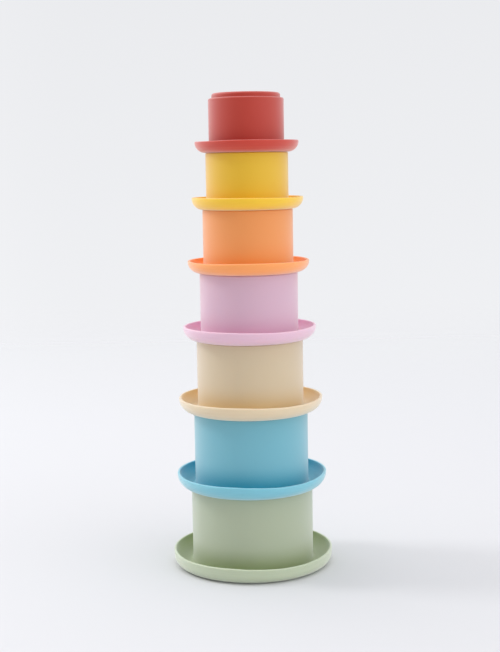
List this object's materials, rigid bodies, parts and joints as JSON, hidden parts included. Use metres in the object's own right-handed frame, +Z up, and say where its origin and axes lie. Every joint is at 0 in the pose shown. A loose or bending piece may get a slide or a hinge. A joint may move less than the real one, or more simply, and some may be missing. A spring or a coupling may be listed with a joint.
{
  "type": "stacking cup tower",
  "caption": "Tower of round brimmed stacking cups standing mouth down, each smaller than the one below and centred on its raised boss.",
  "frame": {"origin": "centre of the mouth face of the largest cup, which the tower stands on", "axes": "+Z up along the shared axis of the cups; the cups are round, so +X and +Y are free"},
  "size_m": [0.1, 0.1, 0.2926],
  "materials": {
    "green_silicone": "matte",
    "blue_silicone": "matte",
    "sand_silicone": "matte",
    "lilac_silicone": "matte",
    "orange_silicone": "matte",
    "yellow_silicone": "matte",
    "coral_silicone": "matte"
  },
  "bodies": {
    "green_cup": {"green_cup": "green_silicone"},
    "blue_cup": {"blue_cup": "blue_silicone"},
    "sand_cup": {"sand_cup": "sand_silicone"},
    "lilac_cup": {"lilac_cup": "lilac_silicone"},
    "orange_cup": {"orange_cup": "orange_silicone"},
    "yellow_cup": {"yellow_cup": "yellow_silicone"},
    "coral_cup": {"coral_cup": "coral_silicone"}
  },
  "joints": [
    {"name": "blue_cup_lift", "type": "slide", "parent": "green_cup", "child": "blue_cup", "axis": [0, 0, 1], "range_m": [0, 0.04]},
    {"name": "sand_cup_lift", "type": "slide", "parent": "blue_cup", "child": "sand_cup", "axis": [0, 0, 1], "range_m": [0, 0.04]},
    {"name": "lilac_cup_lift", "type": "slide", "parent": "sand_cup", "child": "lilac_cup", "axis": [0, 0, 1], "range_m": [0, 0.04]},
    {"name": "orange_cup_lift", "type": "slide", "parent": "lilac_cup", "child": "orange_cup", "axis": [0, 0, 1], "range_m": [0, 0.04]},
    {"name": "yellow_cup_lift", "type": "slide", "parent": "orange_cup", "child": "yellow_cup", "axis": [0, 0, 1], "range_m": [0, 0.04]},
    {"name": "coral_cup_lift", "type": "slide", "parent": "yellow_cup", "child": "coral_cup", "axis": [0, 0, 1], "range_m": [0, 0.04]}
  ]
}
